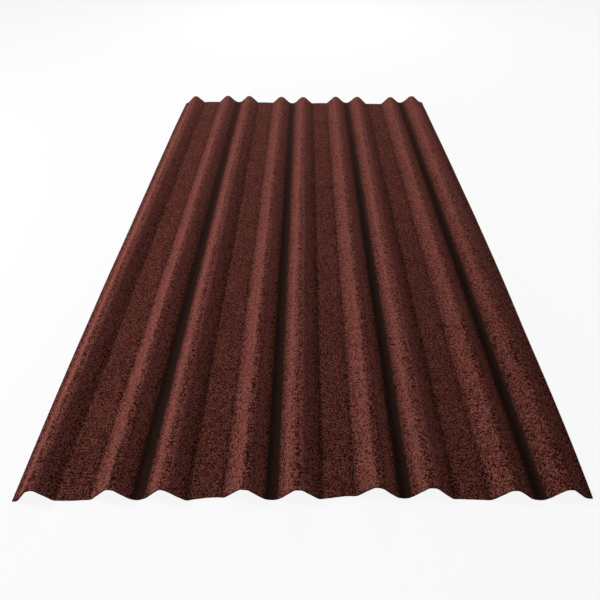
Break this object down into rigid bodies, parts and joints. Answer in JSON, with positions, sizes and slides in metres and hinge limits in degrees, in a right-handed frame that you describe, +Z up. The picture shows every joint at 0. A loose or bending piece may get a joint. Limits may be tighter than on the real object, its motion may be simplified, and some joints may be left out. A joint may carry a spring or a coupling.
{
  "type": "under-tile roofing sheet",
  "caption": "Dark red-brown corrugated bitumen fibre sheet for under curved roof tiles, with round and wide flat valleys in turns.",
  "frame": {"origin": "centre of the sheet's footprint, on the plane its valleys rest on", "axes": "+X across the waves, from the edge beside a flat valley to the edge beside a round valley, +Y along the waves, +Z up, out of the side that the tiles lie on"},
  "size_m": [1.034, 2, 0.0298],
  "materials": {
    "bitumen_fibre_board": "matte"
  },
  "bodies": {
    "root": {"corrugated_sheet": "bitumen_fibre_board"}
  },
  "joints": []
}
